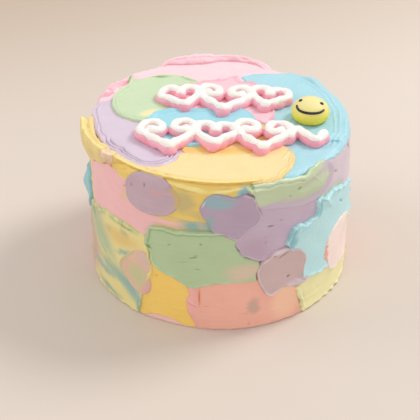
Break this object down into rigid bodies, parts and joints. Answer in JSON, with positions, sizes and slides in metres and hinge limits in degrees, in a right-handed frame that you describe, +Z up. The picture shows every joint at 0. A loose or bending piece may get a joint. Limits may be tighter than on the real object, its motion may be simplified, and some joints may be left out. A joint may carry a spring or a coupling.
{
  "type": "birthday cake",
  "caption": "Round uncut birthday cake in pastel palette-knife buttercream, with two garlands of piped hearts and a small smiling fondant dome on top.",
  "frame": {"origin": "centre of the cake's underside, on the surface it stands on", "axes": "+Z up out of the top; -Y towards the front, where the smiling dome looks; +X to the right seen from the front"},
  "size_m": [0.1693, 0.1701, 0.1142],
  "materials": {
    "base_coat": "smooth buttercream with a soft sheen",
    "pink": "buttercream with a soft sheen and fine knife streaks",
    "salmon": "buttercream with a soft sheen and fine knife streaks",
    "lilac": "buttercream with a soft sheen and fine knife streaks",
    "green": "buttercream with a soft sheen and fine knife streaks",
    "lime": "buttercream with a soft sheen and fine knife streaks",
    "yellow": "buttercream with a soft sheen and fine knife streaks",
    "blue": "buttercream with a soft sheen and fine knife streaks",
    "piped_white": "smooth piped buttercream with a soft sheen",
    "piped_pink": "smooth piped buttercream with a soft sheen",
    "fondant": "smooth fondant, faintly dusty",
    "black": "smooth, with a faint gloss"
  },
  "bodies": {
    "root": {"cake": "base_coat", "dab_yellow_curtain": "yellow", "dab_pink_left": "pink", "dab_yellow_front": "yellow", "dab_lilac_strip": "lilac", "dab_marbled": "yellow", "dab_yellow_low": "yellow", "dab_salmon": "salmon", "dab_lime": "lime", "dab_green_middle": "green", "dab_lilac_wide": "lilac", "dab_green_shoulder": "green", "dab_lilac_flank": "lilac", "dab_lilac_tongue": "lilac", "dab_blue_flank": "blue", "dab_pink_flank": "pink", "dab_lilac_oval": "lilac", "dab_lilac_low": "lilac", "dab_pink_smear": "pink", "dab_blue_bulge": "blue", "dab_back_1": "green", "dab_back_2": "pink", "dab_back_3": "yellow", "dab_back_4": "blue", "dab_back_5": "lilac", "dab_back_6": "salmon", "dab_back_7": "blue", "dab_back_8": "lilac", "dab_back_9": "lime", "dab_back_10": "pink", "dab_top_pink": "pink", "dab_top_lilac": "lilac", "dab_top_yellow_inner": "yellow", "dab_top_blue": "blue", "dab_top_green": "green", "dab_top_pink_inner": "pink", "dab_top_yellow": "yellow", "dab_top_blue_inner": "blue", "crest_yellow": "yellow", "crest_pink": "pink", "piping_pink_upper": "piped_pink", "piping_white_upper": "piped_white", "piping_pink_lower": "piped_pink", "piping_white_lower": "piped_white", "dome": "fondant", "smile": "black", "eye_left": "black", "eye_right": "black"}
  },
  "joints": []
}
